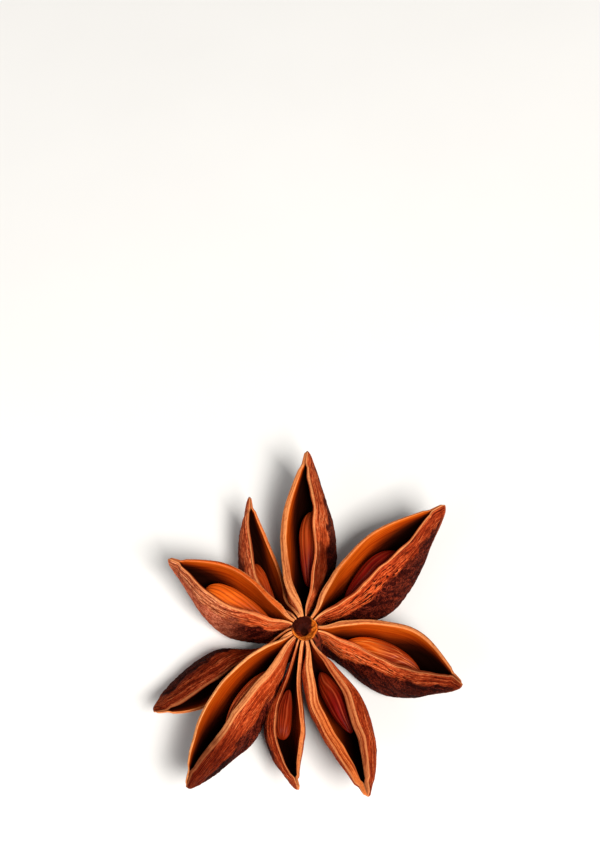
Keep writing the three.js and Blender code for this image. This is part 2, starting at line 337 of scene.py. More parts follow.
def wall_line(half_width, belly, depth, u):
    """Across and down along a wall, from the rim at u = 0 to the keel at u = 1."""
    b0, b1, b2, b3 = (1 - u) ** 3, 3 * u * (1 - u) ** 2, 3 * u * u * (1 - u), u ** 3
    upper, lower = half_width + UPPER_PULL * belly, half_width + belly
    across = b0 * half_width + b1 * upper + b2 * LOWER_PULL * lower
    down = b1 * UPPER_DEPTH * depth + b2 * LOWER_DEPTH * depth + b3 * depth
    return across, down


# ---- Meshes ----

def grid_normals(points):
    """Unit normals of a grid whose second direction closes on itself."""
    along = np.gradient(points, axis=0)
    around = np.roll(points, -1, 1) - np.roll(points, 1, 1)
    n = np.cross(along, around)
    return n / np.maximum(np.linalg.norm(n, axis=-1, keepdims=True), 1e-9)


def grid_faces(rings, count):
    """The faces between rings of count points, and those that close each end round a pole."""
    i, j = np.meshgrid(np.arange(rings - 1), np.arange(count), indexing="ij")
    nxt = (j + 1) % count
    quads = np.stack([i * count + j, i * count + nxt, (i + 1) * count + nxt, (i + 1) * count + j], -1)
    around, after = np.arange(count), (np.arange(count) + 1) % count
    end = (rings - 1) * count
    start_fan = stacked(after, around, rings * count)
    end_fan = stacked(end + around, end + after, rings * count + 1)
    return quads.reshape(-1, 4).tolist() + start_fan.tolist() + end_fan.tolist()


def grid_uv(rings, count):
    """The unrolled grid, in the order of the corners of grid_faces."""
    i, j = np.meshgrid(np.arange(rings - 1), np.arange(count), indexing="ij")
    u0, u1 = i / (rings - 1), (i + 1) / (rings - 1)
    v0, v1 = j / count, (j + 1) / count
    w0, w1 = np.arange(count) / count, (np.arange(count) + 1) / count
    corners = [
        stacked(u0, v0, u0, v1, u1, v1, u1, v0),
        stacked(0.0, w1, 0.0, w0, 0.0, (w0 + w1) / 2),
        stacked(1.0, w0, 1.0, w1, 1.0, (w0 + w1) / 2),
    ]
    return np.concatenate([part.reshape(-1, 2) for part in corners])


def grid_mesh(name, points, attributes):
    """A closed mesh from rings of points (rings, points of a ring, xyz) with a pole at each end."""
    rings, count = points.shape[:2]
    poles = np.stack([points[0].mean(0), points[-1].mean(0)])
    corners = np.concatenate([points.reshape(-1, 3), poles]) * MM
    faces = grid_faces(rings, count)
    mesh = bpy.data.meshes.new(name)
    mesh.from_pydata(corners.tolist(), [], faces)
    mesh.polygons.foreach_set("use_smooth", np.ones(len(faces), bool))
    layer = mesh.uv_layers.new(name="OFBake")
    layer.data.foreach_set("uv", grid_uv(rings, count).astype(np.float32).ravel())

    for key, values in attributes.items():
        vector = values.ndim == 3
        spread = np.broadcast_to(values, (rings, count, 3) if vector else (rings, count))
        flat = spread.reshape(rings * count, -1)
        ends = np.stack([flat[:count].mean(0), flat[-count:].mean(0)])
        attribute = mesh.attributes.new(key, "FLOAT_VECTOR" if vector else "FLOAT", "POINT")
        data = np.concatenate([flat, ends]).astype(np.float32)
        attribute.data.foreach_set("vector" if vector else "value", data.ravel())
    mesh.update()
    obj = bpy.data.objects.new(name, mesh)
    bpy.context.scene.collection.objects.link(obj)
    return obj


# ---- A carpel ----

def round_ring(outer, left_rim, inner, right_rim):
    """A value for each point of every ring, from those of its four stretches."""
    stretches = zip((outer, left_rim, inner, right_rim), (OUTER_POINTS, RIM_POINTS, INNER_POINTS, RIM_POINTS))
    return np.concatenate([np.broadcast_to(values, (STATIONS, count)) for values, count in stretches], 1)


def wall_points(side, half_width, belly, depth, waves):
    """Across and down from rim to rim round the keel: side is 1 at the right rim and -1 at the left one."""
    u = 1 - np.abs(side)
    across, down = wall_line(half_width, belly, depth, u)
    wave = np.where(side < 0, waves[LEFT], waves[RIGHT])
    across = across + WAVE_ACROSS * wave * (1 - u) ** 2
    return np.sign(side) * across, down + WAVE_DOWN * wave * (1 - u) ** 3


def rim_points(c, part, wave, which, angles):
    """Over a rim, by angle from its outer edge to the sharper inner one: how far out and how far down each
    point is, how strongly a highlight is painted along its edges, and how far from the outer one."""
    width = part.rim + part.shift * (2 * which - 1)
    from_outer = width * (0.5 - 0.5 * np.cos(angles))
    out = part.opening + part.rim - from_outer + WAVE_ACROSS * wave
    crown = np.minimum(CROWN, 0.3 * part.rim)
    down = WAVE_DOWN * wave - crown * np.sin(angles) ** 0.7 * (1 - 0.35 * np.cos(angles))
    lower = (which == LEFT) == (c["roll"] > 0)
    # Painted highlights: a pale line along the outer edge of each rim, and along the inner edge of the lower
    # one.
    inner_line = 0.45 * lower * np.exp(-((width - from_outer) / EDGE_LINE) ** 2)
    outer_line = np.exp(-(from_outer / (0.09 if lower else 0.07)) ** 2)
    return out, down, np.maximum(outer_line, inner_line), from_outer


def carpel_wall(c, number):
    """The bare surface of a carpel, and where on its wall each point is."""
    steps = np.linspace(0, 1, STATIONS)
    s = lerp(START, 1.0, lerp(steps, np.sin(steps * math.pi / 2), CROWDING))[:, None]
    along = s * (c["reach"] - HUB_RADIUS)
    part = section_at(c, s)

    # Slow waves make each rim and each side uneven.
    ends = smoothstep(s, 0.05, 0.3) * (1 - smoothstep(s, 0.8, 0.97))
    line = np.full_like(along, 3.1)
    waves = [(cloudy(along / WAVE_CELL, line, WAVES_PER_CARPEL * number + side) - 0.5) * ends
             for side in (RIGHT, LEFT)]

    outer_side = np.linspace(1, -1, OUTER_POINTS)[None, :]
    outer_t, outer_d = wall_points(outer_side, part.opening + part.rim, part.belly, part.depth, waves)
    inner_side = np.linspace(-1, 1, INNER_POINTS)[None, :]
    inner_t, inner_d = wall_points(inner_side, part.opening, part.inner_belly, part.inner_depth, waves)
    to_inner = np.linspace(0, math.pi, RIM_POINTS + 2)[None, 1:-1]
    to_outer = to_inner[:, ::-1]
    left_t, left_d, left_highlight, left_over = rim_points(c, part, waves[LEFT], LEFT, to_inner)
    right_t, right_d, right_highlight, right_over = rim_points(c, part, waves[RIGHT], RIGHT, to_outer)
    t = round_ring(outer_t, -left_t, part.shift + inner_t, right_t)
    d = round_ring(outer_d, left_d, inner_d, right_d)

    # Both ends are rounded off.
    blunt = np.sqrt(clamp01(1 - clamp01((START + BLUNT_START - s) / BLUNT_START) ** 2)).clip(0.03, 1)
    point = np.sqrt(clamp01(1 - clamp01((s - (1 - BLUNT_TIP)) / BLUNT_TIP) ** 2)).clip(0.03, 1)
    centre = 0.35 * part.depth
    t, d = t * blunt * point, centre + (d - centre) * blunt * point
    points = placed(c, s, t, d)

    # Lengths round each ring give how far from the keel and how far below the rim a point is.
    is_outer, is_inner = round_ring(1, 0, 0, 0), round_ring(0, 0, 1, 0)
    step = np.linalg.norm(np.diff(points, axis=1, append=points[:, :1]), axis=-1)
    length = np.cumsum(step, 1) - step
    from_keel = length - length[:, OUTER_POINTS // 2, None]
    first = OUTER_POINTS + RIM_POINTS
    last = first + INNER_POINTS - 1
    below_outside = np.maximum(0, -from_keel[:, :1] - np.abs(from_keel))
    below_inside = np.minimum(length - length[:, first, None], length[:, last, None] - length)
    below = is_outer * below_outside + is_inner * below_inside.clip(0, None)

    # Painted shade of the lining: it darkens below the rim, and sooner towards the tip.
    shade = c["shade"] * (1 + 0.7 * smoothstep(s, 0.45, 0.85))
    # A painted highlight along the outside, just under the rim.
    outer_line = np.exp(-(below[:, :OUTER_POINTS] / EDGE_LINE) ** 2)
    return SimpleNamespace(
        s=s, along=along, points=points, from_keel=from_keel, below=below,
        is_outer=is_outer, is_rim=round_ring(0, 1, 0, 1), is_inner=is_inner,
        raised=(np.sign(t) == np.sign(c["roll"])) * 1.0,
        shade_depth=round_ring(0, 0, (1 - np.abs(inner_side)) * shade, 0),
        edge=round_ring(0, to_inner / math.pi, 1, to_outer / math.pi),
        edge_highlight=round_ring(outer_line, left_highlight, 0, right_highlight),
        over=round_ring(0, left_over, LINING_START, right_over),
        flank=np.where(from_keel > 0, 0.0, FLANK_SHIFT))


def carpel_relief(c, number, wall):
    """Grooves along the rim, slanting wrinkles and lumps on the belly, a keel line and a streaky lining."""
    s, along, below, from_keel = wall.s, wall.along, wall.below, wall.from_keel
    to_keel = np.abs(from_keel)
    warp = cloudy(along / 1.4, from_keel / 1.1, WARP + number) * 1.6
    grooves = ridged(along / GROOVE_CELL[0] + warp * 0.2, below / GROOVE_CELL[1] + wall.flank,
                     GROOVES + number)
    wrinkles = ridged((along + WRINKLE_SLANT * to_keel) / WRINKLE_CELL[0] + warp,
                      below / WRINKLE_CELL[1] + warp + wall.flank, WRINKLES + number)
    lumps = cloudy((along + LUMP_SLANT * to_keel) / LUMP_CELL[0], from_keel / LUMP_CELL[1], LUMPS + number)

    ragged = below + 0.9 * (warp - 0.8) - c["band"] * smoothstep(s, 0.1, 0.5)
    band = 1 - smoothstep(ragged - c["hub_band"] * (1 - smoothstep(s, 0.05, 0.4)), 0.9, 2.3)
    relief = lerp(wrinkles, grooves, band)
    fade = smoothstep(below, 0.0, 0.35) * (1 - 0.7 * smoothstep(s, 0.85, 1))
    fine = lerp(WRINKLE_HEIGHT, GROOVE_HEIGHT, band) * (relief - 0.75)
    outside = wall.is_outer * fade * (fine + LUMP_HEIGHT * (lumps - 0.5) * (1 - band))

    streaks = ridged(along / STREAK_CELL[0], below / STREAK_CELL[1] + wall.flank, STREAKS + number)
    inside = wall.is_inner * STREAK_HEIGHT * (streaks - 0.6) * smoothstep(wall.shade_depth, 0, 0.08)
    on_rim = wall.is_rim * RIM_HEIGHT * (cloudy(along / 0.9, wall.edge / 0.4, RIM_TOP + number) - 0.5)
    keel = np.exp(-(from_keel / KEEL_WIDTH) ** 2) * wall.is_outer * smoothstep(s, 0.2, 0.5)
    return SimpleNamespace(height=outside + inside + on_rim + KEEL_HEIGHT * keel, band=band, keel=keel,
                           relief=wall.is_outer * relief + (1 - wall.is_outer) * 0.8)


def carpel_looks(c, number, wall):
    """How weathered, how brightened by painted light, how much darker at the tips and under painted shade,
    how pale and how pitted each point of a carpel is.
    """
    s, raised = wall.s, wall.raised
    mottled = s + 0.12 * (cloudy(wall.along / 1.5, wall.from_keel / 1.5, MOTTLE + number) - 0.5)
    # Painted shade where the outside lies in the dark of its neighbours.
    neighbour_shade = smoothstep(mottled, c["shade_from"], c["shade_from"] + 0.1)
    neighbour_shade = neighbour_shade * (1 - smoothstep(mottled, c["shade_to"] - 0.1, c["shade_to"]))
    shown = np.maximum(wall.is_outer, wall.is_rim * raised)
    # Darker towards the tip: partly the darker tips of the pod, partly painted shade.
    dark = c["dark"] * smoothstep(mottled, c["dark_from"], c["dark_from"] + 0.3) * shown
    by_hub = 0.7 * (1 - smoothstep(s, 0.12, 0.6)) * (1 - 0.8 * raised * smoothstep(s, 0.02, 0.16))
    return {
        "tan": c["tan"] * smoothstep(s, 0.2, 0.58),
        # Painted light: a brighter red orange on the outside near the hub.
        "warm_light": shown * c["warm_light"] * (1 - smoothstep(mottled, 0.12, c["warm_to"])),
        "dark": np.maximum(dark, 0.85 * wall.is_outer * neighbour_shade),
        "pale": wall.is_rim * np.maximum(by_hub, lerp(c["dry"], c["dry_raised"], raised)),
        "vivid": wall.is_rim * c["vivid"] * (1 - raised) * smoothstep(s, 0.03, 0.15),
        "pits": c["pits"] * (1 - 0.8 * smoothstep(s, 0.5, 0.8)),
    }


def carpel_piece(name, c, number):
    wall = carpel_wall(c, number)
    form = carpel_relief(c, number, wall)
    points = wall.points + grid_normals(wall.points) * form.height[..., None]
    # The keels that hang lowest rest flat on the ground.
    points[..., 2] = np.maximum(points[..., 2], 0.0)
    attributes = {
        "inside": wall.is_inner, "edge": wall.edge, "shade_depth": wall.shade_depth, "raised": wall.raised,
        "edge_highlight": wall.edge_highlight, "band": form.band, "keel": form.keel, "relief": form.relief,
        "grain": stacked(wall.along, wall.below + wall.over,
                         CARPEL_SHIFT * number + wall.flank + LINING_SHIFT * wall.is_inner),
    }
    return grid_mesh("carpel_" + name, points, attributes | carpel_looks(c, number, wall))


# ---- A seed ----

def seed_piece(name, c, number):
    """An egg with uneven ridges, which follows the bend of its carpel."""
    look = SEEDS[name]
    angle = np.linspace(0.04, math.pi - 0.04, SEED_RINGS)[:, None]
    turn = np.linspace(0, 2 * math.pi, SEED_SIDES, endpoint=False)[None, :]
    along = -np.cos(angle)
    girth = np.sin(angle) ** c["point"] * (1 + c["egg"] * along)
    length = c["seed"] / (c["reach"] - HUB_RADIUS)
    width = 0.88 * section_at(c, c["place"]).opening + 0.73 * (c["belly"] - THICKENING) - c["room"]
    height = SEED_HEIGHT * c["depth"]
    dented = 1 + 0.06 * (noise(along * 2.5 + 9, 2.2 * np.cos(turn), DENTS + number) - 0.5)
    s = c["place"] + length * along
    shift = section_at(c, s).shift + c["lie"] * np.sign(c["roll"])
    across = shift + width * girth * np.cos(turn) * dented
    down = SEED_COVER + height + height * girth * np.sin(turn) * dented
    points = placed(c, s, across, down)

    # The ridges meander, and each groove and crest has its own strength.
    meander = 0.5 * (noise(along * 1.3 + 5, np.full_like(along, number), MEANDER) - 0.5)
    uneven_turn = turn + 0.13 * np.sin(2 * turn + number) + 0.07 * np.sin(5 * turn + 2 * number)
    phase = (uneven_turn + meander) * RIDGES / 2
    wave = np.abs(np.cos(phase))
    own = np.full_like(phase, number)
    nth_groove = np.floor(phase / math.pi).astype(np.int64) % RIDGES
    nth_crest = np.floor(phase / math.pi + 0.5).astype(np.int64) % RIDGES
    fade = smoothstep(np.sin(angle), 0.05, 0.5)
    groove = fade * (1 - wave ** 0.7) ** 1.5 * (0.15 + 1.1 * lattice(nth_groove, own, GROOVE_DEPTHS))
    crest_highlight = fade * wave ** 16 * lattice(nth_crest, own, CREST_HEIGHTS)
    relief = RIDGE_HEIGHT * fade * (wave - 1) - SEED_GROOVE_DEPTH * groove
    points = points + grid_normals(points) * relief[..., None]

    grain = stacked(3.8 * along, 1.6 * np.cos(turn), np.sin(turn))
    inner_tint, outer_tint = look["tint"]
    attributes = {
        "grain": grain / [1, look["coarse"], look["coarse"]] + [0, 0, SEED_SHIFT * number],
        "groove": clamp01(groove * look["grooves"]), "crest_highlight": clamp01(crest_highlight * look["crests"]),
        "highlight_hairs": fade * look["highlight_hairs"], "tint": lerp(inner_tint, outer_tint, smoothstep(along, -0.55, 0.2)),
    }
    return grid_mesh("seed_in_" + name, points, attributes)


# ---- The hub ----

def hub_piece():
    """The core between the carpels, with its rough socket and the broken stalk."""
    top = HUB_HEIGHT + 0.05
    outside = [
        [0.15, 0.0], [1.0, 0.0], [STALK_RADIUS, 0.0], [STALK_RADIUS - 0.05, 0.25], [WAIST_RADIUS, 1.2],
        [COLUMN_RADIUS, 3.4], [COLUMN_RADIUS, 6.0], [HUB_RADIUS + 0.2, top - 0.6], [HUB_RADIUS, top - 0.14],
    ]
    bowl = [
        [SOCKET_RADIUS, top - 0.06], [SOCKET_RADIUS - 0.1, top - 0.35], [0.9, top - 0.8], [0.62, top - 1.05],
        [0.4, top - 1.12], [0.32, top - 1.4], [0.2, top - SOCKET_DEPTH - 0.1],
    ]
    profile = np.array(outside + bowl)
    steps = np.concatenate([[0], np.cumsum(np.linalg.norm(np.diff(profile, axis=0), axis=1))])
    brim, lip, foot, ledge, pit = (steps[len(outside) + k] for k in (-1, 0, 2, 3, 4))

    way = np.linspace(0, steps[-1], HUB_RINGS)[:, None]
    r, z = np.interp(way, steps, profile[:, 0]), np.interp(way, steps, profile[:, 1])
    turn = np.linspace(0, 2 * math.pi, HUB_SIDES, endpoint=False)[None, :]
    cos, sin = np.cos(turn), np.sin(turn)
    points = stacked(r * cos, r * sin, z)

    # Noise sampled on the surface itself, so that it meets all round.
    bark = ridged(way / 1.3 + 2 * cos, 5 * sin + 2 * cos, BARK, 3)
    crags = cloudy(1.6 * r * cos + way / 1.2, 1.6 * r * sin + 7, CRAGS, 3) - 0.5
    notches = cloudy(3 * cos + 5, 3 * sin + 9, NOTCHES) - 0.5
    socket = smoothstep(way, brim, lip)
    rough_bowl = -(0.3 * crags + 0.22 * notches) * (1 - smoothstep(way, ledge, pit))
    outward = lerp(0.16 * (bark - 0.8), rough_bowl, socket) * smoothstep(z, 0, 0.1)
    points[..., :2] += stacked(cos, sin) * outward[..., None]
    points[..., 2] += socket * 0.25 * crags * smoothstep(way, lip, foot)

    # Painted light and shade in the bowl: painted shade over it, darkest on its far side, all but a bright
    # painted-light crescent on its lower right side.
    far_side_shade = smoothstep(r * np.sin(turn + math.radians(-20)) + 0.5 * crags, -0.25, 0.45)
    lit_crescent = 0.78 - 0.5 * np.cos(turn + math.radians(56)) + 0.4 * crags
    attributes = {
        "socket": socket, "far_wall_shade": far_side_shade, "relief": lerp(bark, 0.5 + crags, socket),
        "socket_shade": 1 - smoothstep(r / SOCKET_RADIUS, lit_crescent - 0.22, lit_crescent + 0.22),
        "shade_depth": clamp01((top - z) / 1.2) * socket, "grain": stacked(2 * cos + z, 2 * sin + r, z),
    }
    return grid_mesh("hub", points, attributes)


# ---- Materials ----

def srgb(red, green, blue):
    """A linear colour from the 0 to 255 values seen on a screen."""
    channels = [v / 255 for v in (red, green, blue)]
    return tuple(v / 12.92 if v <= 0.04045 else ((v + 0.055) / 1.055) ** 2.4 for v in channels) + (1.0,)


class Shader:
    """A material with a Principled shader, and short ways to add its nodes."""

    def __init__(self, name, **settings):
        self.material = bpy.data.materials.new(name)
        self.material.use_nodes = True
        self.tree = self.material.node_tree
        self.surface = self.tree.nodes["Principled BSDF"]
        for key, value in settings.items():
            self.surface.inputs[key.replace("_", " ")].default_value = value

    def node(self, kind, inputs=(), **settings):
        made = self.tree.nodes.new(kind)
        for key, value in settings.items():
            setattr(made, key, value)
        for key, value in dict(inputs).items():
            self.link(value, made.inputs[key])
        return made

    def link(self, value, socket):
        if isinstance(value, bpy.types.NodeSocket):
            self.tree.links.new(value, socket)
        else:
            socket.default_value = value

    def set(self, **inputs):
        for key, value in inputs.items():
            self.link(value, self.surface.inputs[key.replace("_", " ")])

    def attribute(self, name, output="Fac"):
        return self.node("ShaderNodeAttribute", attribute_name=name).outputs[output]

    def math(self, operation, a, b):
        return self.node("ShaderNodeMath", {0: a, 1: b}, operation=operation).outputs[0]

    def times(self, a, b):
        return self.math("MULTIPLY", a, b)

    def span(self, value, low, high, to_low=0.0, to_high=1.0):
        """value from low to high, as to_low to to_high, with soft ends."""
        inputs = {"Value": value, "From Min": low, "From Max": high, "To Min": to_low, "To Max": to_high}
        return self.node("ShaderNodeMapRange", inputs, interpolation_type="SMOOTHSTEP").outputs[0]

    def mix(self, factor, a, b, blend="MIX"):
        """From colour a to colour b by factor."""
        made = self.node("ShaderNodeMix", data_type="RGBA", blend_type=blend)
        self.link(factor, made.inputs["Factor"])
        self.link(a, made.inputs[6])
        self.link(b, made.inputs[7])
        return made.outputs[2]

    def darker(self, factor, colour, tone):
        """By factor, colour as it is seen through tone."""
        return self.mix(factor, colour, self.mix(1.0, colour, tone, "MULTIPLY"))

    def blend(self, factor, a, b):
        """From number a to number b by factor."""
        made = self.node("ShaderNodeMix", data_type="FLOAT")
        self.link(factor, made.inputs["Factor"])
        self.link(a, made.inputs[2])
        self.link(b, made.inputs[3])
        return made.outputs[0]

    def stretched(self, vector, scale):
        return self.node("ShaderNodeMapping", {"Vector": vector, "Scale": scale}).outputs[0]

    def noise(self, vector, scale, detail, distortion=0.0):
        inputs = {"Vector": vector, "Scale": scale, "Detail": detail, "Roughness": 0.6,
                  "Distortion": distortion}
        return self.node("ShaderNodeTexNoise", inputs).outputs["Fac"]

    def fibres(self, grain, cells, detail, distortion=0.0):
        """Noise with this many cells a millimetre along, across and out of the grain."""
        return self.noise(self.stretched(grain, cells), 1.0, detail, distortion)

    def ramp(self, value, *stops):
        """Colours along value, as (place, screen colour) stops from low to high."""
        made = self.node("ShaderNodeValToRGB", {"Fac": value})
        elements = made.color_ramp.elements
        elements[0].position, elements[1].position = stops[0][0], stops[-1][0]
        for place, _ in stops[1:-1]:
            elements.new(place)
        for element, (_, colour) in zip(elements, stops):
            element.color = srgb(*colour)
        return made.outputs["Color"]

    def bump(self, height, strength, distance):
        inputs = {"Strength": strength, "Distance": distance, "Height": height}
        return self.node("ShaderNodeBump", inputs).outputs[0]


def cell_net(m, grain):
    """A net of small slanting cells: 0 on its lines, 1 inside its cells."""
    stray = m.node("ShaderNodeTexNoise", {"Vector": grain, "Scale": 1.6, "Detail": 2.0}).outputs["Color"]
    strayed = m.node("ShaderNodeVectorMath", {0: grain, 1: stray}, operation="ADD").outputs[0]
    slanted = m.node("ShaderNodeMapping", {"Vector": strayed, "Rotation": (0, 0, 0.7)}).outputs[0]
    cells = m.node("ShaderNodeTexVoronoi", {"Vector": m.stretched(slanted, (5, 2.8, 1)), "Scale": 1.0},
                   feature="DISTANCE_TO_EDGE").outputs["Distance"]
    return m.span(cells, 0.0, 0.25)


def belly_colour(m, net, blotches):
    """The belly is dark with a fine net of paler lines, darker in the grooves of its relief as painted shade,
    and tan where it has weathered.
    """
    # Painted shade: darker where the relief is low, in the grooves of the wrinkles.
    light = m.times(m.span(m.attribute("relief"), 0.35, 0.95, 0.62, 1),
                    m.math("SUBTRACT", 1.0, m.times(net, 0.5)))
    fresh = m.ramp(light, (0.0, (12, 1, 1)), (0.3, (28, 3, 3)), (0.6, (58, 11, 7)), (1.0, (134, 48, 28)))
    fresh = m.mix(m.span(blotches, 0.4, 0.7, 0, 0.3), fresh, srgb(30, 5, 4))
    faded = m.ramp(light, (0.0, (80, 24, 14)), (0.3, (136, 54, 32)), (0.6, (184, 86, 56)),
                   (1.0, (230, 136, 98)))
    return m.mix(m.math("POWER", m.attribute("tan"), 2.0), fresh, faded)


def band_colour(m, grain, fibre, flecks):
    """The band under the rim: long fibres with thin dark lines, short flecks and a few dark gashes, painted
    shade in its grooves, and painted light near the hub.
    """
    lines = m.fibres(grain, (0.22, 7, 1), 2, 0.05)
    # Painted shade: the fibres are darker where the relief is low.
    strand = m.times(m.blend(0.4, m.span(fibre, 0.36, 0.62), m.span(flecks, 0.36, 0.62)),
                     m.span(m.attribute("relief"), 0.35, 0.8, 0.55, 1))
    strand = m.times(strand, m.span(lines, 0.38, 0.48, 0.3, 1))
    fresh = m.ramp(strand, (0.0, (70, 12, 4)), (0.3, (150, 42, 12)), (0.65, (202, 76, 28)),
                   (1.0, (240, 128, 66)))
    dull = m.ramp(strand, (0.0, (76, 24, 12)), (0.3, (158, 70, 40)), (0.65, (214, 122, 76)),
                  (1.0, (248, 172, 124)))
    # Painted light: a brighter red orange for the band near the hub.
    bright = m.ramp(strand, (0.0, (160, 42, 12)), (0.4, (238, 102, 44)), (1.0, (255, 162, 102)))
    colour = m.mix(m.attribute("tan"), fresh, dull)
    colour = m.mix(m.times(m.attribute("warm_light"), 0.85), colour, bright)
    below_rim = m.node("ShaderNodeSeparateXYZ", {0: grain}).outputs["Y"]
    slits = m.fibres(grain, (1.1, 4.5, 1), 1, 0.4)
    gash = m.times(m.span(slits, 0.55, 0.6), m.span(below_rim, 0.25, 0.6))
    return m.mix(m.times(gash, m.attribute("pits")), colour, srgb(34, 6, 4))


def lining_colour(m, grain):
    """The lining: smooth ochre with fine lines along it, and painted shade that makes it dark further down.
    """
    # Painted shade: the lining goes from ochre at the rim to near black deep in the hollow.
    lining = m.ramp(m.attribute("shade_depth"), (0.0, (226, 108, 30)), (0.08, (208, 88, 14)), (0.23, (174, 64, 8)),
                    (0.34, (112, 36, 5)), (0.46, (52, 14, 4)), (0.62, (26, 7, 3)))
    lines = m.fibres(grain, (0.25, 4.5, 1), 4)
    return m.darker(m.span(lines, 0.4, 0.62, 0, 0.7), lining, srgb(196, 152, 124))


def rim_colour(m, grain, flecks):
    """The top of a rim, from its outer to its inner edge, with threads along it. The lower rim is a flat band
    with a painted highlight on its inner edge, and the raised one has painted shade towards the hollow."""
    edge, pale = m.attribute("edge"), m.attribute("pale")
    # A painted highlight brightens the inner edge of the lower rim.
    lower = m.ramp(edge, (0.0, (216, 112, 54)), (0.85, (206, 98, 38)), (1.0, (222, 102, 26)))
    # Painted shade: the raised rim darkens towards the hollow like the shaded inside.
    raised = m.ramp(edge, (0.0, (196, 98, 52)), (0.35, (172, 76, 36)), (0.7, (132, 48, 20)),
                    (1.0, (104, 34, 12)))
    colour = m.mix(m.attribute("raised"), lower, raised)
    # Painted light near the hub on the rims too.
    colour = m.mix(m.times(m.attribute("warm_light"), 0.7), colour, srgb(216, 96, 44))
    colour = m.mix(m.times(pale, 0.7), colour, srgb(244, 172, 108))
    colour = m.mix(m.attribute("vivid"), colour, srgb(204, 80, 14))
    threads = m.span(m.fibres(grain, (0.14, 5.0, 1), 3, 0.05), 0.42, 0.54, 1, 0)
    strength = m.math("SUBTRACT", 0.95, m.times(pale, 0.45))
    colour = m.darker(m.times(threads, strength), colour, srgb(168, 104, 76))
    return m.darker(m.span(flecks, 0.34, 0.5, 0.5, 0), colour, srgb(170, 110, 80))


def husk_material():
    m = Shader("husk", Specular_IOR_Level=0.01)
    grain = m.attribute("grain", "Vector")
    edge, inside = m.attribute("edge"), m.attribute("inside")
    blotches = m.fibres(grain, (0.5, 0.7, 1), 3)
    fibre = m.fibres(grain, (0.5, 8, 1), 3, 0.1)
    flecks = m.fibres(grain, (2.4, 8, 1), 2, 0.2)
    grit = m.fibres(grain, (4, 8, 1), 3)
    net = cell_net(m, grain)

    ragged = m.math("ADD", m.attribute("band"), m.times(m.math("SUBTRACT", blotches, 0.5), 0.7))
    belly, band = belly_colour(m, net, blotches), band_colour(m, grain, fibre, flecks)
    husk = m.mix(m.span(ragged, 0.15, 0.75), belly, band)
    husk = m.mix(m.times(m.attribute("keel"), 0.6), husk, srgb(196, 98, 62))
    husk = m.mix(m.span(edge, 0.0, 0.12), husk, rim_colour(m, grain, flecks))
    # A pale painted highlight along the edges of the rims.
    husk = m.mix(m.times(m.attribute("edge_highlight"), 0.75), husk, srgb(238, 154, 94))
    # Darker at the tips and under painted shade: partly the pod's darker tips, partly painted shade.
    husk = m.darker(m.attribute("dark"), husk, srgb(108, 66, 62))
    colour = m.mix(inside, husk, lining_colour(m, grain))

    rough = m.blend(inside, m.span(grit, 0.3, 0.7, 0.58, 0.82), 0.4)
    rugged = m.math("ADD", m.times(net, 0.9), m.math("ADD", fibre, m.times(grit, 0.6)))
    height = m.blend(edge, rugged, m.times(fibre, 0.3))
    m.set(Base_Color=colour, Roughness=rough, Normal=m.bump(height, 0.6, 0.00008))
    return m.material


def core_material():
    """Dark bark outside, and a woody socket with a bright crescent of painted light and painted shade over
    the rest, darkest on its far side and in its hole.
    """
    m = Shader("core", Specular_IOR_Level=0.05)
    grit = m.noise(m.attribute("grain", "Vector"), 3.5, 5)
    lightness = m.span(grit, 0.3, 0.7)
    # Painted shade in the grooves of the bark: darker where its relief is low.
    bark = m.ramp(m.span(m.attribute("relief"), 0.4, 0.95), (0.0, (24, 5, 3)), (1.0, (120, 44, 22)))
    # Painted light: the bright wood of the lit crescent.
    lit_wood = m.ramp(lightness, (0.0, (204, 84, 12)), (1.0, (252, 142, 44)))
    # Painted shade: the wood in shade, near black on the far side of the bowl.
    shaded_wood = m.ramp(lightness, (0.0, (84, 20, 6)), (1.0, (156, 52, 16)))
    shaded_wood = m.mix(m.times(m.attribute("far_wall_shade"), 0.9), shaded_wood, srgb(26, 4, 3))
    bowl = m.mix(m.span(m.attribute("socket_shade"), 0.0, 0.9), lit_wood, shaded_wood)
    # Painted shade deep in the hole of the socket.
    bowl = m.mix(m.span(m.attribute("shade_depth"), 0.75, 1.0, 0, 0.7), bowl, srgb(26, 7, 4))
    colour = m.mix(m.attribute("socket"), bark, bowl)
    m.set(Base_Color=colour, Roughness=m.span(grit, 0.3, 0.7, 0.6, 0.85), Normal=m.bump(grit, 0.7, 0.0001))
    return m.material


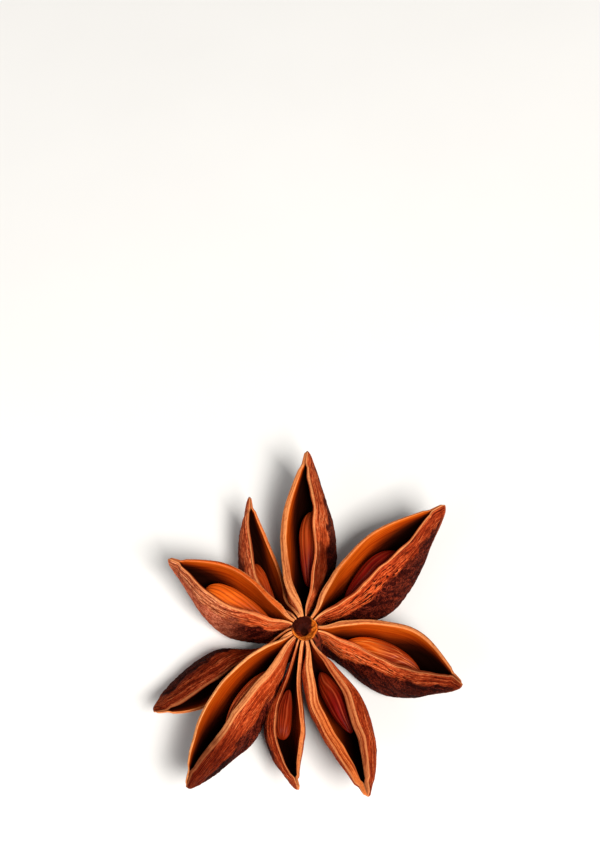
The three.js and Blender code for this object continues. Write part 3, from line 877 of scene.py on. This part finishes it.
def seed_material():
    """From orange to a deep red brown, partly its own colour and partly painted shade, with painted shade in
    the grooves, painted highlights on the crests and fine painted highlight streaks along it.
    """
    m = Shader("seed", Specular_IOR_Level=0.06, Coat_Weight=0.01, Coat_Roughness=0.25)
    grain, tint = m.attribute("grain", "Vector"), m.attribute("tint")
    fibre = m.fibres(grain, (0.4, 6, 6), 3)
    clouds = m.fibres(grain, (0.5, 1, 1), 2)
    light = m.times(m.span(fibre, 0.3, 0.7, 0.55, 1), m.span(clouds, 0.3, 0.7, 0.8, 1))
    fresh = m.ramp(light, (0.3, (196, 62, 10)), (1.0, (232, 104, 20)))
    dark = m.ramp(light, (0.3, (74, 5, 2)), (1.0, (126, 14, 6)))
    # The tint from orange to deep red brown is partly the seed's own colour, partly painted shade.
    colour = m.mix(tint, fresh, dark)
    # Painted shade in the grooves.
    colour = m.darker(m.attribute("groove"), colour, srgb(110, 60, 50))
    # Painted highlights on the crests.
    crest_highlight_colour = m.mix(tint, srgb(252, 160, 70), srgb(232, 118, 70))
    colour = m.mix(m.times(m.attribute("crest_highlight"), 0.8), colour, crest_highlight_colour)
    # Fine painted highlight streaks along the seed.
    highlight_hair = m.span(m.fibres(grain, (0.07, 7, 7), 1), 0.59, 0.66, 0, 0.5)
    highlight_hair_colour = m.mix(tint, srgb(255, 170, 84), srgb(240, 122, 66))
    colour = m.mix(m.times(highlight_hair, m.attribute("highlight_hairs")), colour, highlight_hair_colour)
    m.set(Base_Color=colour, Roughness=m.span(fibre, 0.3, 0.7, 0.36, 0.5), Normal=m.bump(fibre, 0.3, 0.00004))
    return m.material


def floor_material():
    m = Shader("table", Roughness=0.6)
    cloud = m.noise(m.node("ShaderNodeTexCoord").outputs["Object"], 30.0, 3)
    m.set(Base_Color=m.mix(cloud, (0.74, 0.73, 0.71, 1), (0.8, 0.79, 0.77, 1)))
    return m.material


# ---- Build the pod ----

husk = husk_material()
seeds = seed_material()

for number, (name, shape) in enumerate(CARPELS.items()):
    carpel = {**USUAL, **shape, **USUAL_LOOK, **LOOKS[name]}
    piece = carpel_piece(name, carpel, number)
    piece.data.materials.append(husk)
    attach(piece, "root")
    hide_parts("husk")
    if name in SEEDS:
        kernel = seed_piece(name, carpel, number)
        kernel.data.materials.append(seeds)
        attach(kernel, "root")
        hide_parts("seed_" + name)

hub = hub_piece()
hub.data.materials.append(core_material())
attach(hub, "root")
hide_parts("husk")

# ---- Table, light and camera ----

TABLE_SIZE = 3.0
WORLD_LIGHT = 0.2
# Soft square lamps that face the pod: degrees from behind the camera, anticlockwise, and up; metres; watts.
LAMPS = {
    "key": dict(azimuth=28, elevation=58, distance=0.5, size=0.16, power=3.6, colour=(1.0, 0.98, 0.95)),
    "fill": dict(azimuth=-50, elevation=40, distance=0.5, size=0.3, power=0.65, colour=(1, 1, 1)),
}
ELEVATION = 63.0            # the camera looks down by this angle, along +Y
LENS = 100.0                # on a sensor 36 mm high
SENSOR = 36.0
PHOTO = (600, 853)          # picture size in pixels
HUB_PIXEL = (304.7, 628.0)  # where the middle of the hub is in the picture
PIXEL = 0.10                # millimetres that one pixel covers at the hub


def look_matrix(place, forward):
    """A camera or lamp at place that looks along forward, with its top up."""
    rotation = Vector(forward).to_track_quat("-Z", "Y").to_matrix().to_4x4()
    return Matrix.Translation(Vector(place)) @ rotation


def add_camera():
    """The camera of the photo, far enough off for PIXEL, with the middle of the hub at HUB_PIXEL."""
    tilt = math.radians(ELEVATION)
    forward = np.array([0, math.cos(tilt), -math.sin(tilt)])
    up = np.array([0, math.sin(tilt), math.cos(tilt)])
    right = np.array([1, 0, 0])
    distance = LENS / SENSOR * PHOTO[1] * PIXEL
    aim = np.array([0, 0, HUB_HEIGHT]) + right * (PHOTO[0] / 2 - HUB_PIXEL[0]) * PIXEL
    aim = aim + up * (HUB_PIXEL[1] - PHOTO[1] / 2) * PIXEL
    data = bpy.data.cameras.new("camera")
    data.lens, data.sensor_fit, data.sensor_height = LENS, "VERTICAL", SENSOR
    data.clip_start, data.clip_end = 0.01, 10
    camera = bpy.data.objects.new("camera", data)
    camera.matrix_world = look_matrix((aim - forward * distance) * MM, forward)
    bpy.context.scene.collection.objects.link(camera)
    bpy.context.scene.camera = camera


def add_lamp(name, azimuth, elevation, distance, size, power, colour):
    a, e = math.radians(azimuth - 90), math.radians(elevation)
    direction = Vector((math.cos(a) * math.cos(e), math.sin(a) * math.cos(e), math.sin(e)))
    data = bpy.data.lights.new(name, "AREA")
    data.shape, data.size, data.energy, data.color = "SQUARE", size, power, colour
    lamp = bpy.data.objects.new(name, data)
    lamp.matrix_world = look_matrix(direction * distance, -direction)
    bpy.context.scene.collection.objects.link(lamp)


def add_table():
    mesh = bpy.data.meshes.new("table")
    half = TABLE_SIZE / 2
    corners = [(-half, -half, 0), (half, -half, 0), (half, half, 0), (-half, half, 0)]
    mesh.from_pydata(corners, [], [(0, 1, 2, 3)])
    table = bpy.data.objects.new("table", mesh)
    table.data.materials.append(floor_material())
    bpy.context.scene.collection.objects.link(table)


def add_world():
    world = bpy.data.worlds.new("world")
    world.use_nodes = True
    background = world.node_tree.nodes["Background"]
    background.inputs["Color"].default_value = (1, 1, 1, 1)
    background.inputs["Strength"].default_value = WORLD_LIGHT
    bpy.context.scene.world = world


add_table()
add_world()
for name, lamp in LAMPS.items():
    add_lamp(name, **lamp)
add_camera()
bpy.context.scene.view_settings.view_transform = "Standard"
